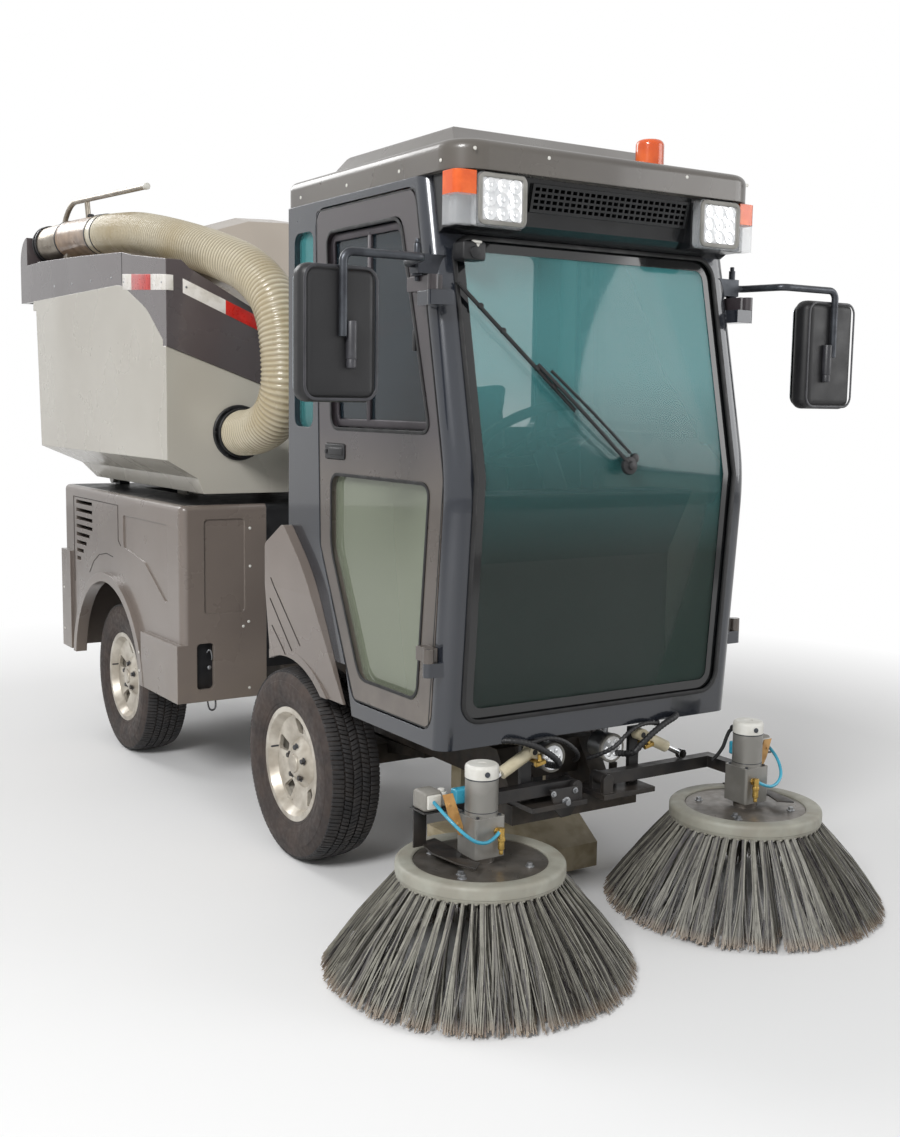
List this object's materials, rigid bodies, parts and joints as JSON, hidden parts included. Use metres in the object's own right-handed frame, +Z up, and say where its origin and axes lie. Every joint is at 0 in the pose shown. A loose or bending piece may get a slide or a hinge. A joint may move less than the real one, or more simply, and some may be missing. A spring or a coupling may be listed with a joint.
{
  "type": "compact street sweeper truck",
  "caption": "Compact street sweeper truck with a glazed single cab, side brushes on lifting arms, a suction nozzle and a rear hopper that tips to empty.",
  "frame": {"origin": "on the ground under the middle of the whole machine", "axes": "front faces -Y, the machine's own left side is +X, +Z is up; Y is the longest extent"},
  "size_m": [1.828, 3.9279, 2.2556],
  "materials": {
    "frame": "black chassis paint, rusty at the edges",
    "axle": "dark grey castings",
    "engine": "cast block",
    "rim": "silver paint",
    "tyre": "black rubber with brownish sidewalls",
    "cab_paint": "dark blue-grey gloss",
    "door_paint": "brown-grey satin paint",
    "roof": "grey-brown gel coat",
    "fascia": "black",
    "glass": "teal tint",
    "dash": "grained black",
    "seat_base": "black",
    "seat": "black vinyl",
    "steering_wheel": "soft black",
    "panel": "grey-brown gel coat",
    "deck": "dark grey",
    "hopper": "light beige-grey gel coat",
    "lid": "dark grey-brown gel coat",
    "hose": "translucent cream wall with a wire helix",
    "pipe": "weathered steel",
    "cylinder": "black",
    "rod": "polished",
    "mirror": "grained black",
    "wiper": "black",
    "lamp": "clear lenses",
    "nozzle": "beige paint",
    "duct": "black",
    "bracket": "black",
    "motor": "light grey castings",
    "brush": "grey-brown bristles",
    "actuator": "cream"
  },
  "bodies": {
    "chassis": {"frame": "frame", "front_axle": "axle", "rear_axle": "axle", "engine_block": "engine", "cab_frame": "cab_paint", "cab_roof": "roof", "roof_fascia": "fascia", "cab_glass": "glass", "dash": "dash", "seat_base": "seat_base", "seat_cushion": "seat", "front_fenders": "panel", "body_side_right": "panel", "body_side_left": "panel", "body_deck": "deck", "mirrors": "mirror", "wiper": "wiper", "lamps": "lamp", "suction_nozzle": "nozzle", "suction_duct": "duct"},
    "steering_wheel": {"steering_wheel": "steering_wheel"},
    "hopper": {"hopper_shell": "hopper", "hopper_lid": "lid", "hose": "hose", "hose_pipe": "pipe"},
    "hopper_door": {"hopper_door": "hopper"},
    "lift_barrels": {"lift_barrels": "cylinder"},
    "lift_rods": {"lift_rods": "rod"},
    "door_right": {"door_right": "door_paint", "door_glass_right": "glass"},
    "knuckle_right": {"knuckle_right": "axle"},
    "wheel_front_right": {"rim_front_right": "rim", "tyre_front_right": "tyre"},
    "wheel_rear_right": {"rim_rear_right": "rim", "tyre_rear_right": "tyre"},
    "brush_bracket_right": {"brush_bracket_right": "bracket"},
    "brush_arm_right": {"brush_arm_right": "bracket", "brush_motor_right": "motor"},
    "side_brush_right": {"side_brush_right": "brush"},
    "brush_actuator_right": {"brush_actuator_right": "actuator"},
    "brush_rod_right": {"brush_rod_right": "rod"},
    "door_left": {"door_left": "door_paint", "door_glass_left": "glass"},
    "knuckle_left": {"knuckle_left": "axle"},
    "wheel_front_left": {"rim_front_left": "rim", "tyre_front_left": "tyre"},
    "wheel_rear_left": {"rim_rear_left": "rim", "tyre_rear_left": "tyre"},
    "brush_bracket_left": {"brush_bracket_left": "bracket"},
    "brush_arm_left": {"brush_arm_left": "bracket", "brush_motor_left": "motor"},
    "side_brush_left": {"side_brush_left": "brush"},
    "brush_actuator_left": {"brush_actuator_left": "actuator"},
    "brush_rod_left": {"brush_rod_left": "rod"}
  },
  "joints": [
    {"name": "steer_right", "type": "hinge", "parent": "chassis", "child": "knuckle_right", "pos_m": [-0.385, -0.56, 0.3], "axis": [0, 0, 1], "range_deg": [-30, 30]},
    {"name": "steer_left", "type": "hinge", "parent": "chassis", "child": "knuckle_left", "pos_m": [0.385, -0.56, 0.3], "axis": [0, 0, 1], "range_deg": [-30, 30]},
    {"name": "steering_wheel_turn", "type": "hinge", "parent": "chassis", "child": "steering_wheel", "pos_m": [0, -1.13, 1.33], "axis": [0, 0.5, 0.866], "range_deg": [-360, 360]},
    {"name": "front_wheel_right_spin", "type": "hinge", "parent": "knuckle_right", "child": "wheel_front_right", "pos_m": [-0.43, -0.56, 0.3], "axis": [1, 0, 0], "continuous": true},
    {"name": "rear_wheel_right_spin", "type": "hinge", "parent": "chassis", "child": "wheel_rear_right", "pos_m": [-0.43, 0.96, 0.3], "axis": [1, 0, 0], "continuous": true},
    {"name": "door_right_swing", "type": "hinge", "parent": "chassis", "child": "door_right", "pos_m": [-0.53, -1.4, 1.2], "axis": [0, 0, 1], "range_deg": [0, 75]},
    {"name": "front_wheel_left_spin", "type": "hinge", "parent": "knuckle_left", "child": "wheel_front_left", "pos_m": [0.43, -0.56, 0.3], "axis": [1, 0, 0], "continuous": true},
    {"name": "rear_wheel_left_spin", "type": "hinge", "parent": "chassis", "child": "wheel_rear_left", "pos_m": [0.43, 0.96, 0.3], "axis": [1, 0, 0], "continuous": true},
    {"name": "door_left_swing", "type": "hinge", "parent": "chassis", "child": "door_left", "pos_m": [0.53, -1.4, 1.2], "axis": [0, 0, -1], "range_deg": [0, 75]},
    {"name": "hopper_tip", "type": "hinge", "parent": "chassis", "child": "hopper", "pos_m": [0, 1.45, 1.078], "axis": [-1, 0, 0], "range_deg": [0, 48]},
    {"name": "hopper_door_swing", "type": "hinge", "parent": "hopper", "child": "hopper_door", "pos_m": [0, 1.782, 1.807], "axis": [1, 0, 0], "range_deg": [0, 60]},
    {"name": "lift_barrels_swing", "type": "hinge", "parent": "chassis", "child": "lift_barrels", "pos_m": [0, 1.1, 0.4], "axis": [-1, 0, 0], "range_deg": [0, 14.96]},
    {"name": "lift_rods_slide", "type": "slide", "parent": "lift_barrels", "child": "lift_rods", "axis": [0, -0.3093, 0.951], "range_m": [0, 0.4029]},
    {"name": "brush_swing_right", "type": "hinge", "parent": "chassis", "child": "brush_bracket_right", "pos_m": [-0.15, -1.32, 0.34], "axis": [0, 0, -1], "range_deg": [0, 10]},
    {"name": "brush_lift_right", "type": "hinge", "parent": "brush_bracket_right", "child": "brush_arm_right", "pos_m": [-0.055, -1.385, 0.38], "axis": [0, 1, 0], "range_deg": [0, 12]},
    {"name": "brush_spin_right", "type": "hinge", "parent": "brush_arm_right", "child": "side_brush_right", "pos_m": [-0.458, -1.543, 0.25], "axis": [0, 0, -1], "continuous": true},
    {"name": "brush_actuator_swing_right", "type": "hinge", "parent": "brush_bracket_right", "child": "brush_actuator_right", "pos_m": [-0.19, -1.385, 0.49], "axis": [0, 1, 0], "range_deg": [0, 19.75]},
    {"name": "brush_rod_slide_right", "type": "slide", "parent": "brush_actuator_right", "child": "brush_rod_right", "axis": [-0.8989, 0, -0.4382], "range_m": [-0.0321, 0]},
    {"name": "brush_swing_left", "type": "hinge", "parent": "chassis", "child": "brush_bracket_left", "pos_m": [0.15, -1.32, 0.34], "axis": [0, 0, 1], "range_deg": [0, 10]},
    {"name": "brush_lift_left", "type": "hinge", "parent": "brush_bracket_left", "child": "brush_arm_left", "pos_m": [0.055, -1.385, 0.38], "axis": [0, -1, 0], "range_deg": [0, 12]},
    {"name": "brush_spin_left", "type": "hinge", "parent": "brush_arm_left", "child": "side_brush_left", "pos_m": [0.458, -1.543, 0.25], "axis": [0, 0, 1], "continuous": true},
    {"name": "brush_actuator_swing_left", "type": "hinge", "parent": "brush_bracket_left", "child": "brush_actuator_left", "pos_m": [0.19, -1.385, 0.49], "axis": [0, -1, 0], "range_deg": [0, 19.75]},
    {"name": "brush_rod_slide_left", "type": "slide", "parent": "brush_actuator_left", "child": "brush_rod_left", "axis": [0.8989, 0, -0.4382], "range_m": [-0.0321, 0]}
  ],
  "couplings": [
    {"joint": "steer_left", "follows": "steer_right", "ratio": 1},
    {"joint": "steering_wheel_turn", "follows": "steer_right", "ratio": 12},
    {"joint": "lift_barrels_swing", "follows": "hopper_tip", "ratio": 0.30131},
    {"joint": "lift_rods_slide", "follows": "hopper_tip", "m_per_rad": 0.47732},
    {"joint": "brush_actuator_swing_right", "follows": "brush_lift_right", "ratio": 1.604},
    {"joint": "brush_rod_slide_right", "follows": "brush_lift_right", "m_per_rad": -0.14361},
    {"joint": "brush_actuator_swing_left", "follows": "brush_lift_left", "ratio": 1.604},
    {"joint": "brush_rod_slide_left", "follows": "brush_lift_left", "m_per_rad": -0.14361}
  ]
}
